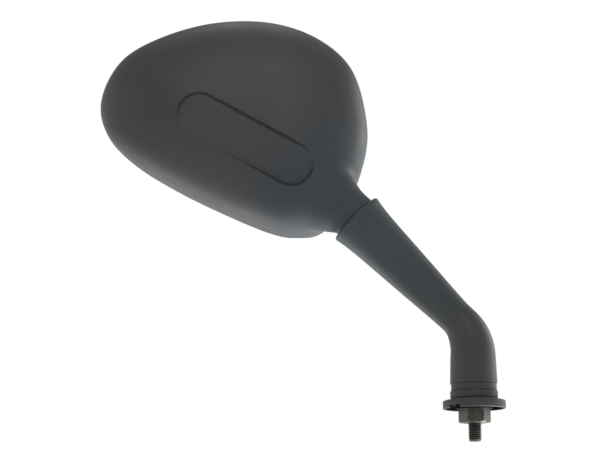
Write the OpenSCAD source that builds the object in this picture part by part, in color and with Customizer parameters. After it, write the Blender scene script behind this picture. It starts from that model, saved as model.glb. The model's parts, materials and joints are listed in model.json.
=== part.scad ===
// Motorcycle mirror seen from its back: an egg-shaped head on a ball joint, a bent tapered arm
// and a swivelling foot on a hexagon stud. Millimetres. The stud axis is Z, and Z = 0 is the
// lower face of the hexagon. The glass faces +Y and the head reaches out to -X.

/* [Stud] */
// Radius of the threaded end
thread_r = 4; // [3:0.5:5]
// Length of the threaded end below the hexagon
thread_len = 11.2; // [8:0.1:16]
// Width of the hexagon across its flats
hex_flats = 17; // [15:0.5:19]
// Height of the hexagon
hex_h = 8.4; // [6:0.1:11]
// Radius of the spigot that the arm turns on
spigot_r = 6; // [5:0.1:6.5]

/* [Base flange] */
// Outer radius of the flange
flange_r = 19; // [17.5:0.1:22]
// Height of the flange's upright rim
flange_rim_h = 4.8; // [4:0.1:7]
// Rise of the flange's cone from the rim to its collar
flange_cone_h = 2.2; // [1:0.1:4]
// Radius of the collar on the flange
collar_r = 14.6; // [13.5:0.1:15.5]
// Height of the collar on the flange
collar_h = 3.6; // [2.5:0.1:6]
// Depth of the hollow under the flange
flange_hollow = 2.8; // [1:0.1:3.5]
// Width of the notch in the flange's rim
notch_w = 8; // [4:0.5:11]
// Height of the notch in the flange's rim
notch_h = 1.9; // [1:0.1:3]
// Direction of the notch, from +X towards +Y
notch_dir = 232; // [180:1:300]

/* [Foot swivel] */
// Radius of the sleeve's collar, the narrow ring under the arm
ring_r = 13.8; // [12.8:0.1:14.2]
// Height of the sleeve's collar
ring_h = 4.2; // [3:0.1:6]
// Radius of the sleeve where it is pressed into the arm
sleeve_r = 10.8; // [9.5:0.1:11.2]
// Height of the sleeve above its collar
sleeve_h = 12.5; // [9:0.5:13]
// Thickness of the friction washer between flange and sleeve
washer_t = 0.9; // [0.6:0.1:1.5]
// Thickness of one disc spring
disc_t = 0.7; // [0.5:0.1:1]

/* [Arm] */
// Height at which the arm's slope would meet the stud axis
elbow_z = 54; // [52:0.5:60]
// Angle of the arm's slope above the horizontal
slope = 46; // [42:1:50]
// Radius of the bend between foot and slope
bend_r = 31; // [26:1:34]
// Distance along the slope from the elbow to the mouth
mouth_d = 100.4; // [96:0.2:110]
// Radius of the foot at its lower end
foot_r = 14.3; // [13.9:0.1:15.5]
// Radius of the arm at its waist, just above the bend
waist_r = 10.6; // [10.2:0.1:11.5]
// How much wider the arm's mouth is than the neck
mouth_margin = 3.4; // [3:0.1:4.5]
// Wall of the arm at its mouth
mouth_wall = 2.2; // [1.8:0.1:2.4]

/* [Ball joint] */
// Radius of the neck and of the ball-shaped end that turns in the arm
neck_r = 14.6; // [14.2:0.1:14.8]
// Distance of the joint's centre outside the mouth of the arm
joint_out = 1.8; // [1:0.1:2.5]
// Wall of the ball-shaped end, as a share of the neck's radius
ball_wall_share = 0.165; // [0.14:0.005:0.19]
// Thickness of each nylon liner
liner_t = 1; // [0.8:0.1:1.2]
// Running clearance between spherical faces
ball_play = 0.3; // [0.2:0.05:0.35]
// Radius of the tension bolt
bolt_r = 3; // [2.5:0.1:3]
// Length of the tension spring
spring_len = 15; // [12:0.5:20]
// Thickness of the spring's wire
spring_wire = 2; // [1.4:0.1:2.4]
// Number of turns in the spring
spring_turns = 5; // [4:1:6]
// Tilt of the head to each side of its middle place
head_tilt = 10; // [5:1:10]

/* [Head] */
// Width of the head
head_w = 166; // [150:0.5:185]
// Wall of the housing
wall = 2.5; // [2:0.1:3]
// Distance of the housing's front edge from the stud axis
rim_y = 30; // [28:0.5:34]
// Distance at which the straight side wall turns into the rounded back
shoulder_y = 16.5; // [14:0.5:19]
// Distance of the crown of the back behind the stud axis
crown_y = 19.5; // [18.5:0.5:22]
// Squareness of the rounded back, 2 is an ellipse
back_power = 2.3; // [2:0.1:3]
// Half width of the oblong recess in the back
recess_r = 13.3; // [11:0.1:14]
// Distance of the recess's floor behind the stud axis, at the end next to the neck
recess_y = 16.6; // [15.9:0.1:17.4]
// How much shallower the recess is at its other end
recess_fade = 1.15; // [0:0.05:1.5]
// Slant across the floor at the end next to the neck
recess_lean = 3; // [0:0.1:5]
// Slant across the floor at the other end
recess_turn = 0.7; // [-1:0.1:2]

/* [Glass] */
// Thickness of the mirror glass
glass_t = 2; // [1.8:0.1:3]
// Radius of the glass's convex curve
glass_curve = 1200; // [900:100:2000]
// Thickness of the foam pad behind the glass
pad_t = 1; // [0.8:0.1:1.5]
// Thickness of the carrier's plate
carrier_t = 2; // [1.6:0.1:2.6]
// Radius of the self-tapping screws
screw_r = 1.5; // [1.2:0.1:1.8]

/* [Hidden] */
$fn = 96;
slack = 0.1;
fit_play = 0.05;
skin = 1;
hull_fn = 32;

// Foot, from the hexagon upwards
flange_z = hex_h;
collar_z = flange_z + flange_rim_h + flange_cone_h;
collar_top = collar_z + collar_h;
run_gap = 0.3;
ring_z = collar_top + run_gap;
foot_z = ring_z + ring_h;
sleeve_top = foot_z + sleeve_h;
spigot_washer_t = 1;
disc_rise = 0.6;
discs_z = sleeve_top + spigot_washer_t;
discs_h = 2 * (disc_t + disc_rise);
groove_z = discs_z + discs_h;
groove_h = 1.2;
groove_depth = 0.8;
ring_out = 3.2;
spigot_top = groove_z + groove_h + 1.5;
spigot_bore_top = spigot_top + 1.5;
disc_out_r = sleeve_r - 0.8;

// Slope of the arm and the joint's centre, measured along the slope from the elbow
bend_tangent = bend_r * tan((90 - slope) / 2);
foot_end_z = elbow_z - bend_tangent;
joint_d = mouth_d + joint_out;
joint_x = -joint_d * cos(slope);
joint_z = elbow_z + joint_d * sin(slope);
mouth_r = neck_r + mouth_margin;
ball_wall = ball_wall_share * neck_r;
ball_in_r = neck_r - ball_wall;
liner_in_r = neck_r + ball_play;
liner_out_r = liner_in_r + liner_t;
seat_r = liner_out_r + ball_play;
saddle_liner_out_r = ball_in_r - ball_play;
saddle_liner_in_r = saddle_liner_out_r - liner_t;
saddle_r = saddle_liner_in_r - ball_play;
bolt_play = 0.4;
both_tilts = acos(cos(head_tilt) * cos(head_tilt));
ball_hole = asin((bolt_r + bolt_play) / ball_in_r) + both_tilts + 2.5;
saddle_liner_hole = asin((bolt_r + bolt_play) / saddle_liner_in_r) + head_tilt + 2;
liner_hole = 18;
liner_edge = 58;
seat_edge = 60;
tube_r = neck_r - 2.1;
tube_in_r = tube_r - 1.7;
tube_edge = asin(tube_in_r / ball_in_r);
saddle_edge = tube_edge - both_tilts - 1;
saddle_liner_edge = tube_edge - head_tilt - 1;
saddle_top = -saddle_r * cos(saddle_edge);
cup_rim_w = -seat_r * cos(seat_edge);
cup_rim_r = seat_r * sin(seat_edge) + 1;
cup_floor = 3;
cup_foot_w = -seat_r - cup_floor;
cup_foot_r = cup_rim_r - 2.4;
bolt_head_h = 4;
bolt_head_flats = 10;
spring_r = bolt_r + spring_wire / 2 + 1.4;
spring_washer_t = 1.4;
nut_h = 5.5;
spring_end_w = cup_foot_w - spring_len;
nut_w = spring_end_w - spring_washer_t - nut_h;
bolt_end_w = nut_w - 2.5;
core_end_d = 30;
core_end_r = 8.4;

// Radius of the arm at each distance from the start of the bend's middle line
bend_len = bend_r * (90 - slope) * PI / 180;
slope_len = mouth_d - bend_tangent;
flare = mouth_r - waist_r;
arm_radii = [
    [0, foot_r],
    [foot_end_z - foot_z, foot_r - 0.6],
    [foot_end_z - foot_z + bend_len / 2, (foot_r + waist_r) / 2 + 0.2],
    [foot_end_z - foot_z + bend_len, waist_r],
    [foot_end_z - foot_z + bend_len + 0.14 * slope_len, waist_r + 0.1 * flare],
    [foot_end_z - foot_z + bend_len + 0.45 * slope_len, waist_r + 0.38 * flare],
    [foot_end_z - foot_z + bend_len + 0.8 * slope_len, waist_r + 0.67 * flare],
    [foot_end_z - foot_z + bend_len + 0.93 * slope_len, waist_r + 0.84 * flare],
    [foot_end_z - foot_z + bend_len + 0.985 * slope_len, mouth_r - 0.1],
    [foot_end_z - foot_z + bend_len + slope_len, mouth_r - 0.9]];

// Outline of the housing's rim in X and Z, counted from the joint's centre and drawn for a
// head that is outline_w wide
outline_w = 166;
head_scale = head_w / outline_w;
rim_points = head_scale * [[10, 58.5], [6, 33.5], [-4, 12], [-19.5, -5.2], [-35, -8], [-50, -5.5],
    [-74, 4.5], [-107, 21], [-136, 39.5], [-154, 59.5], [-156, 81], [-142.5, 104.5],
    [-115, 119.5], [-82, 127.5], [-47.5, 126.5], [-18, 115], [2, 94]];
rim_steps = 4;
crown_point = head_scale * [-70, 54.5];
crown_stretch = 0.3;
head_mid = head_scale * [-74, 58.5];
lip = 1.2;
glass_inset = wall + 1.6;
gasket_lap = 1.6;
glass_front = rim_y - 1;

// Places of the screw bosses: bracket's along and across the arm's slope, carrier's in X and Z
bracket_bosses = head_scale * [[40, 15], [40, -18], [62, -2]];
carrier_bosses = head_scale * [[-126, 70.5], [-79, 106.5], [-15, 80.5], [-87, 26.5]];
bracket_y = 9;
bracket_t = 3;
carrier_seat = 1.5;
boss_r = 4;
boss_gap = 0.05;
carrier_boss_y = 20;
screw_head_r = 3.2;
screw_head_h = 2;
screw_tip = 1.5;
bracket_screw_len = 11;
carrier_screw_len = 14;
pilot_extra = 1;
recess_left = head_scale * [-93.9, 61.4];
recess_right = head_scale * [-37.6, 29.6];
recess_draft = 0.25;
recess_dir = (recess_right - recess_left) / norm(recess_right - recess_left);
recess_up = [-recess_dir[1], recess_dir[0]];

function catmull(a, b, c, d, t) = 0.5 * (2 * b + (c - a) * t + (2 * a - 5 * b + 4 * c - d) * t * t
    + (3 * b - a - 3 * c + d) * t * t * t);
function smooth_loop(p, n) = let (k = len(p)) [for (i = [0:k - 1], j = [0:n - 1])
    catmull(p[(i + k - 1) % k], p[i], p[(i + 1) % k], p[(i + 2) % k], j / n)];
function unit(v) = v / norm(v);
function inset(p, d) = let (k = len(p)) [for (i = [0:k - 1])
    let (t = unit(p[(i + 1) % k] - p[(i + k - 1) % k])) p[i] + d * [t[1], -t[0]] * turn];
function shrunk(p, f) = [for (q = p) head_mid + (q - head_mid) * f];
function signed_area(p) = let (k = len(p)) 0.5 * sum([for (i = [0:k - 1])
    p[i][0] * p[(i + 1) % k][1] - p[(i + 1) % k][0] * p[i][1]]);
function sum(v, i = 0) = i < len(v) - 1 ? v[i] + sum(v, i + 1) : v[i];
rim = smooth_loop(rim_points, rim_steps);
turn = signed_area(rim) > 0 ? -1 : 1;

// One closed solid through a stack of rings with equally many points
module loft(rings) {
    n = len(rings[0]);
    m = len(rings);
    points = concat([for (r = rings, q = r) q], [sum(rings[0]) / n, sum(rings[m - 1]) / n]);
    sides = [for (i = [0:m - 2], j = [0:n - 1]) [i * n + j, i * n + (j + 1) % n,
        (i + 1) * n + (j + 1) % n, (i + 1) * n + j]];
    first = [for (j = [0:n - 1]) [m * n, (j + 1) % n, j]];
    last = [for (j = [0:n - 1]) [m * n + 1, (m - 1) * n + j, (m - 1) * n + (j + 1) % n]];
    polyhedron(points = points, faces = concat(sides, first, last));
}

// Places its children on the arm's slope at distance d from the elbow, with +Z up the slope
module on_slope(d = 0) {
    translate([0, 0, elbow_z]) rotate([0, slope - 90, 0]) translate([0, 0, d]) children();
}

// Places its children at the joint's centre: the head is drawn from there
module at_joint() {
    translate([joint_x, 0, joint_z]) children();
}

// Turns its children so that their +Z runs up the neck
module up_neck() {
    rotate([0, slope - 90, 0]) children();
}

// Extrudes a shape drawn in X and Z from y1 to y2
module upright(y1, y2) {
    translate([0, y2, 0]) rotate([90, 0, 0]) linear_extrude(y2 - y1) children();
}

// Part of a hollow sphere between two angles from straight down
module ball_band(r_in, r_out, a1, a2) {
    reach = 2 * r_out;
    rotate_extrude() intersection() {
        difference() {
            circle(r_out);
            circle(r_in);
        }
        polygon([[0, 0], [reach * sin(a1), -reach * cos(a1)],
            [reach * sin((a1 + a2) / 2), -reach * cos((a1 + a2) / 2)],
            [reach * sin(a2), -reach * cos(a2)]]);
    }
}

module hex_prism(flats, h) {
    cylinder(h = h, r = flats / 2 / cos(30), $fn = 6);
}

// A hexagon whose corners are turned off at one or both ends
module turned_hex(flats, h, top = true) {
    corner = flats / 2 / cos(30);
    cut = 0.9;
    rise = 0.55;
    intersection() {
        hex_prism(flats, h);
        rotate_extrude() polygon([[0, 0], [corner - cut, 0], [corner + 0.1, rise],
            [corner + 0.1, top ? h - rise : h], [top ? corner - cut : corner + 0.1, h], [0, h]]);
    }
}

module mounting_stud() {
    end_cut = 0.8;
    color([0.20, 0.19, 0.18]) {
        difference() {
            union() {
                translate([0, 0, -thread_len + end_cut]) cylinder(h = thread_len, r = thread_r);
                translate([0, 0, -thread_len])
                    cylinder(h = end_cut, r1 = thread_r - end_cut, r2 = thread_r);
                turned_hex(hex_flats, hex_h, false);
                translate([0, 0, hex_h - skin]) cylinder(h = spigot_top - hex_h + skin, r = spigot_r);
            }
            translate([0, 0, groove_z]) difference() {
                cylinder(h = groove_h, r = spigot_r + skin);
                translate([0, 0, -skin])
                    cylinder(h = groove_h + 2 * skin, r = spigot_r - groove_depth);
            }
        }
    }
}

module base_flange() {
    rim_top = flange_z + flange_rim_h;
    rim_in = flange_r - 2.4;
    hub_r = hex_flats / 2 / cos(30) + 1.4;
    round = 0.9;
    color([0.23, 0.235, 0.235]) difference() {
        rotate_extrude() polygon([[spigot_r + slack, flange_z], [hub_r, flange_z],
            [hub_r, flange_z + flange_hollow], [rim_in, flange_z + flange_hollow],
            [rim_in, flange_z], [flange_r - round, flange_z], [flange_r - 0.3 * round, flange_z + 0.3 * round],
            [flange_r, flange_z + round], [flange_r, rim_top - round],
            [flange_r - 0.3 * round, rim_top - 0.3 * round], [flange_r - round, rim_top],
            [collar_r + 0.5, collar_z - 0.3], [collar_r, collar_z + 0.2], [collar_r, collar_top - 0.3],
            [collar_r - 0.3, collar_top], [spigot_r + slack, collar_top]]);
        rotate([0, 0, notch_dir]) translate([rim_in - skin, -notch_w / 2, flange_z - skin])
            cube([flange_r - rim_in + 3 * skin, notch_w, notch_h + skin]);
    }
}

module friction_washer() {
    color([0.75, 0.74, 0.70]) translate([0, 0, collar_top]) difference() {
        cylinder(h = washer_t, r = ring_r - 1.6);
        translate([0, 0, -skin]) cylinder(h = washer_t + 2 * skin, r = spigot_r + 2 * slack);
    }
}

module swivel_sleeve() {
    washer_room = ring_r - 1.6 + 0.2;
    edge = 0.25;
    color([0.225, 0.23, 0.23]) rotate_extrude() polygon([[spigot_r + fit_play, collar_top + washer_t],
        [washer_room, collar_top + washer_t], [washer_room, ring_z], [ring_r - edge, ring_z],
        [ring_r, ring_z + edge], [ring_r, foot_z - edge], [ring_r - edge, foot_z], [sleeve_r, foot_z],
        [sleeve_r, sleeve_top - edge], [sleeve_r - edge, sleeve_top], [spigot_r + fit_play, sleeve_top]]);
}

module spigot_washer() {
    color([0.62, 0.62, 0.60]) translate([0, 0, sleeve_top]) difference() {
        cylinder(h = spigot_washer_t, r = disc_out_r);
        translate([0, 0, -skin]) cylinder(h = spigot_washer_t + 2 * skin, r = spigot_r + slack);
    }
}

// Two coned discs, edge to edge
module disc_springs() {
    inner = spigot_r + slack;
    color([0.55, 0.55, 0.54]) for (k = [0, 1])
        translate([0, 0, discs_z + k * discs_h]) mirror([0, 0, k]) rotate_extrude()
            polygon([[disc_out_r, disc_rise + 0.02], [inner, 0], [inner, disc_t],
                [disc_out_r, disc_t + disc_rise - 0.02]]);
}

module retaining_ring() {
    gap_w = 5;
    color([0.45, 0.45, 0.44]) translate([0, 0, groove_z]) difference() {
        cylinder(h = groove_h - fit_play, r = spigot_r + ring_out - 1);
        translate([0, 0, -skin]) cylinder(h = groove_h + 2 * skin, r = spigot_r - groove_depth + fit_play);
        translate([0, -gap_w / 2, -skin]) cube([spigot_r + ring_out, gap_w, groove_h + 2 * skin]);
    }
}

// Middle line of the arm at distance s from the top of the swivel ring: place and lean
foot_len = foot_end_z - foot_z;
function arm_place(s) = s < foot_len ? [0, foot_z + s, 0]
    : s < foot_len + bend_len ? let (g = (s - foot_len) / bend_len * (90 - slope))
        [-bend_r * (1 - cos(g)), foot_end_z + bend_r * sin(g), g]
    : let (d = s - foot_len - bend_len + bend_tangent)
        [-d * cos(slope), elbow_z + d * sin(slope), 90 - slope];
function arm_ring(s, sides) = let (c = arm_place(s), r = lookup(s, arm_radii))
    [for (j = [0:sides - 1]) let (t = 360 * j / sides)
        [c[0] + r * cos(t) * cos(c[2]), r * sin(t), c[1] + r * cos(t) * sin(c[2])]];
arm_sides = 44;
arm_stations = concat([0, foot_len * 0.5], [for (k = [0:7]) foot_len + bend_len * k / 7],
    [for (k = [1:9]) foot_len + bend_len + slope_len * 0.9 * k / 9],
    [for (f = [0.93, 0.96, 0.985, 1]) foot_len + bend_len + slope_len * f]);

module arm() {
    color([0.235, 0.26, 0.27]) difference() {
        loft([for (s = arm_stations) arm_ring(s, arm_sides)]);
        translate([0, 0, foot_z - skin]) cylinder(h = sleeve_h + 2 * skin, r = sleeve_r + fit_play);
        translate([0, 0, sleeve_top]) cylinder(h = spigot_bore_top - sleeve_top, r = sleeve_r - 0.3);
        on_slope(joint_d) rotate_extrude() polygon([[0, -joint_out + skin],
            [mouth_r - mouth_wall, -joint_out + skin], [mouth_r - mouth_wall, -joint_out - 2],
            [cup_rim_r + fit_play, cup_rim_w], [cup_foot_r + fit_play, cup_foot_w],
            [cup_foot_r - 1.6, cup_foot_w], [core_end_r, core_end_d - joint_d],
            [0, core_end_d - joint_d]]);
    }
}

module socket_cup() {
    color([0.42, 0.43, 0.44]) at_joint() up_neck() difference() {
        rotate_extrude() polygon([[0, cup_foot_w], [cup_foot_r, cup_foot_w], [cup_rim_r, cup_rim_w],
            [0, cup_rim_w]]);
        sphere(seat_r);
        translate([0, 0, cup_foot_w - skin]) cylinder(h = 2 * cup_floor + skin, r = bolt_r + slack);
    }
}

module friction_liner() {
    color([0.80, 0.80, 0.77]) at_joint() up_neck() ball_band(liner_in_r, liner_out_r, liner_hole, liner_edge);
}

module saddle_liner() {
    color([0.80, 0.80, 0.77]) at_joint() up_neck()
        ball_band(saddle_liner_in_r, saddle_liner_out_r, saddle_liner_hole, saddle_liner_edge);
}

module ball_saddle() {
    color([0.50, 0.50, 0.50]) at_joint() up_neck() difference() {
        intersection() {
            sphere(saddle_r);
            translate([0, 0, -saddle_r]) cylinder(h = saddle_r + saddle_top, r = saddle_r * sin(saddle_edge));
        }
        translate([0, 0, -2 * saddle_r]) cylinder(h = 2 * saddle_r, r = bolt_r + slack);
    }
}

module tension_bolt() {
    color([0.55, 0.55, 0.55]) on_slope(joint_d) {
        translate([0, 0, saddle_top]) turned_hex(bolt_head_flats, bolt_head_h);
        translate([0, 0, bolt_end_w]) cylinder(h = saddle_top - bolt_end_w + skin, r = bolt_r);
    }
}

// Closed coil whose ends lie half a wire inside its length
function coil_ring(k, per_turn, sides) = let (
        turns = spring_turns, t = 360 * k / per_turn,
        pitch = (spring_len - spring_wire - 2 * slack) / turns,
        z = spring_end_w + slack + spring_wire / 2 + pitch * k / per_turn,
        lean = atan(pitch / (2 * PI * spring_r)))
    [for (j = [0:sides - 1]) let (g = 360 * j / sides, u = spring_wire / 2 * cos(g),
            v = spring_wire / 2 * sin(g))
        [(spring_r + u) * cos(t) + v * sin(lean) * sin(t),
            (spring_r + u) * sin(t) - v * sin(lean) * cos(t), z + v * cos(lean)]];

module tension_spring() {
    per_turn = 20;
    color([0.58, 0.58, 0.57]) on_slope(joint_d)
        loft([for (k = [spring_turns * per_turn:-1:0]) coil_ring(k, per_turn, 8)]);
}

module spring_washer() {
    color([0.60, 0.60, 0.58]) on_slope(joint_d) translate([0, 0, spring_end_w - spring_washer_t])
        difference() {
            cylinder(h = spring_washer_t, r = spring_r + spring_wire / 2 + 0.6);
            translate([0, 0, -skin]) cylinder(h = spring_washer_t + 2 * skin, r = bolt_r + slack);
        }
}

module lock_nut() {
    color([0.58, 0.58, 0.56]) on_slope(joint_d) translate([0, 0, nut_w]) difference() {
        turned_hex(bolt_head_flats, nut_h);
        translate([0, 0, -skin]) cylinder(h = nut_h + 2 * skin, r = bolt_r + fit_play);
    }
}

// A dish with straight sides and a rounded back, closed at the front by a flat face. Its
// sections shrink less along the recess than across it, so the back ends in a long crown.
function dish_ring(p, scale_by, y) = [for (q = p) let (
        along = (q - crown_point) * recess_dir, across = (q - crown_point) * recess_up,
        c = crown_point + recess_dir * along * (crown_stretch + (1 - crown_stretch) * scale_by)
            + recess_up * across * scale_by)
    [c[0], y, c[1]]];
module dish(p, front_y, side_y, back_y) {
    steps = 11;
    bulge = 2 / back_power;
    rings = concat([dish_ring(p, 1, front_y)], [for (k = [0:steps])
        let (t = 88 * pow(k / steps, 0.9)) dish_ring(p, pow(cos(t), bulge),
            side_y - (side_y - back_y) * pow(sin(t), bulge) / pow(sin(88), bulge))]);
    if (turn > 0) loft(rings);
    else loft([for (k = [len(rings) - 1:-1:0]) rings[k]]);
}

// Solid that fills the recess: an oblong with flared sides, whose floor turns along its length
module recess_block(grow) {
    run = recess_right - recess_left;
    angle = atan2(run[1], run[0]);
    reach = 10;
    r_low = recess_r + grow;
    hull() for (end = [[recess_right, recess_y, recess_lean],
            [recess_left, recess_y + recess_fade, recess_turn]])
        translate([end[0][0], grow - end[1], end[0][1]]) rotate([0, -angle, 0]) rotate([90 + end[2], 0, 0])
            cylinder(h = reach, r1 = r_low, r2 = r_low + recess_draft * reach, $fn = 40);
}

// Swelling that leads from the rounded back into the neck. It carries the neck on at its outer
// side, is widest at its lower side and runs out in the back: radius and place of each bulge
fairing_outer = [1.16 * neck_r, head_scale * [-23, -1.4, 23.5]];
fairing_lower = [1.58 * neck_r, head_scale * [-37, 4, 17]];
fairing_end = [1.5 * neck_r, head_scale * [-59.5, 3.2, 36.2]];
fairing_foot = 1.5;
module neck_fairing() {
    hull() {
        up_neck() translate([0, 0, fairing_foot]) cylinder(h = 0.5, r = neck_r - slack, $fn = hull_fn);
        for (bulge = [fairing_outer, fairing_lower, fairing_end])
            translate(bulge[1]) sphere(bulge[0], $fn = hull_fn);
    }
}

neck_end = -2.5;
neck_reach = 30 * head_scale;
neck_bore_w = 28 * head_scale;

module boss_posts() {
    up_neck() for (b = bracket_bosses) translate([b[1], bracket_y, b[0]]) rotate([90, 0, 0])
        cylinder(h = bracket_y + crown_y, r = boss_r);
    for (b = carrier_bosses) translate([b[0], carrier_boss_y, b[1]]) rotate([90, 0, 0])
        cylinder(h = carrier_boss_y + crown_y, r = boss_r);
}

module pilot_holes() {
    up_neck() for (b = bracket_bosses) translate([b[1], bracket_y + skin, b[0]]) rotate([90, 0, 0])
        cylinder(h = bracket_screw_len - bracket_t + pilot_extra + skin, r = screw_r + boss_gap);
    for (b = carrier_bosses) translate([b[0], carrier_boss_y + skin, b[1]]) rotate([90, 0, 0])
        cylinder(h = carrier_screw_len - carrier_seat + pilot_extra + skin, r = screw_r + boss_gap);
}

module housing() {
    color([0.235, 0.24, 0.245]) at_joint() difference() {
        union() {
            dish(rim, rim_y, shoulder_y, -crown_y);
            neck_fairing();
            up_neck() rotate_extrude() intersection() {
                union() {
                    circle(neck_r);
                    square([neck_r, neck_reach]);
                }
                translate([0, neck_end]) square([neck_r + skin, neck_reach - neck_end]);
            }
        }
        recess_block(0);
        difference() {
            union() {
                dish(inset(rim, wall), rim_y + skin, shoulder_y, -crown_y + wall);
                up_neck() translate([0, 0, neck_end - skin])
                    cylinder(h = neck_bore_w - neck_end + skin, r = tube_r + slack);
            }
            recess_block(wall);
            boss_posts();
        }
        pilot_holes();
    }
}

// Ball-shaped end, tube in the neck, and the plate that is screwed to the housing
module ball_bracket() {
    tube_end = neck_bore_w - 1;
    tube_low = neck_end - 2;
    plate_foot = tube_end - 4;
    window_at = (bracket_bosses[0][0] + bracket_bosses[2][0]) / 2 - 7;
    color([0.45, 0.46, 0.47]) at_joint() up_neck() difference() {
        union() {
            intersection() {
                ball_band(ball_in_r, neck_r, ball_hole, 100);
                translate([0, 0, -2 * neck_r]) cylinder(h = 2 * neck_r + neck_end, r = 2 * neck_r);
            }
            translate([0, 0, tube_low]) difference() {
                cylinder(h = tube_end - tube_low, r = tube_r);
                translate([0, 0, -skin]) cylinder(h = tube_end - tube_low + 2 * skin, r = tube_in_r);
            }
            upright(bracket_y, bracket_y + bracket_t) difference() {
                hull() {
                    translate([0, plate_foot]) circle(boss_r + 3, $fn = hull_fn);
                    for (b = bracket_bosses) translate([b[1], b[0]]) circle(boss_r + 2, $fn = hull_fn);
                }
                translate([-1, window_at]) circle(7);
            }
        }
        cylinder(h = tube_end + skin, r = tube_in_r);
        for (b = bracket_bosses) translate([b[1], bracket_y - skin, b[0]]) rotate([-90, 0, 0])
            cylinder(h = bracket_t + 2 * skin, r = screw_r + slack);
    }
}

// Pan-headed screw with its head's underside at the origin and its tip towards -Y
module pan_screw(len) {
    slot_w = 0.8;
    slot_len = screw_head_r;
    slot_h = 1.1;
    rotate([90, 0, 0]) {
        cylinder(h = len - screw_tip, r = screw_r);
        translate([0, 0, len - screw_tip]) cylinder(h = screw_tip, r1 = screw_r, r2 = 0.4);
        translate([0, 0, -screw_head_h]) difference() {
            cylinder(h = screw_head_h, r1 = screw_head_r - 0.6, r2 = screw_head_r);
            for (k = [0, 90]) rotate([0, 0, k])
                translate([-slot_len / 2, -slot_w / 2, -skin]) cube([slot_len, slot_w, slot_h + skin]);
        }
    }
}

module bracket_screws() {
    color([0.62, 0.60, 0.52]) at_joint() up_neck() for (b = bracket_bosses)
        translate([b[1], bracket_y + bracket_t, b[0]]) pan_screw(bracket_screw_len);
}

// Bulged layer whose front face touches front_y in the middle of the glass
module bulged_layer(front_y, t) {
    reach = 0.62 * head_w;
    steps = 10;
    translate([head_mid[0], front_y, head_mid[1]]) rotate([-90, 0, 0]) rotate_extrude()
        polygon(concat([for (k = [0:steps]) let (r = reach * k / steps) [r, -r * r / 2 / glass_curve]],
            [for (k = [steps:-1:0]) let (r = reach * k / steps) [r, -r * r / 2 / glass_curve - t]]));
}

pad_front = glass_front - glass_t;
carrier_front = pad_front - pad_t;
carrier_inset = glass_inset + 1;
carrier_reach = 9;

module glass_carrier() {
    rib_back = carrier_boss_y + 1;
    rib_size = 0.8;
    rib_t = 0.02;
    color([0.20, 0.20, 0.21]) at_joint() difference() {
        union() {
            intersection() {
                upright(0, rim_y) polygon(inset(rim, carrier_inset));
                bulged_layer(carrier_front, carrier_t);
            }
            intersection() {
                union() {
                    for (b = carrier_bosses) translate([b[0], carrier_boss_y, b[1]]) rotate([-90, 0, 0])
                        cylinder(h = carrier_front - carrier_boss_y, r = boss_r + 1);
                    upright(rib_back, carrier_front) difference() {
                        polygon(shrunk(rim, rib_size));
                        polygon(shrunk(rim, rib_size - rib_t));
                    }
                }
                bulged_layer(carrier_front - carrier_t / 2, carrier_reach);
            }
        }
        for (b = carrier_bosses) translate([b[0], carrier_boss_y, b[1]]) rotate([-90, 0, 0]) {
            translate([0, 0, -skin]) cylinder(h = 2 * carrier_seat, r = screw_r + slack);
            translate([0, 0, carrier_seat]) cylinder(h = rim_y - carrier_boss_y, r = screw_head_r + 2 * slack);
        }
    }
}

module carrier_screws() {
    color([0.62, 0.60, 0.52]) at_joint() for (b = carrier_bosses)
        translate([b[0], carrier_boss_y + carrier_seat, b[1]]) pan_screw(carrier_screw_len);
}

module foam_pad() {
    color([0.30, 0.30, 0.30]) at_joint() intersection() {
        upright(0, rim_y) polygon(inset(rim, carrier_inset));
        bulged_layer(pad_front, pad_t);
    }
}

module mirror_glass() {
    color([0.80, 0.84, 0.86]) at_joint() intersection() {
        upright(0, rim_y + skin) polygon(inset(rim, glass_inset));
        bulged_layer(glass_front, glass_t);
    }
}

module rim_gasket() {
    back = carrier_boss_y + 1;
    depth = 14;
    color([0.10, 0.10, 0.10]) at_joint() difference() {
        intersection() {
            upright(back, rim_y) difference() {
                polygon(inset(rim, wall + fit_play));
                polygon(inset(rim, glass_inset + gasket_lap));
            }
            bulged_layer(glass_front + lip, depth);
        }
        intersection() {
            upright(back - skin, rim_y + skin) polygon(inset(rim, glass_inset - fit_play));
            bulged_layer(glass_front, depth);
        }
    }
}

mounting_stud();
base_flange();
friction_washer();
spigot_washer();
disc_springs();
retaining_ring();
swivel_sleeve();
arm();
socket_cup();
tension_bolt();
ball_saddle();
tension_spring();
spring_washer();
lock_nut();
friction_liner();
saddle_liner();
housing();
ball_bracket();
bracket_screws();
glass_carrier();
carrier_screws();
foam_pad();
mirror_glass();
rim_gasket();
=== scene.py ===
import bpy
import json
import math
import numpy as np
from mathutils import Matrix, Vector
from mathutils.bvhtree import BVHTree


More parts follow.
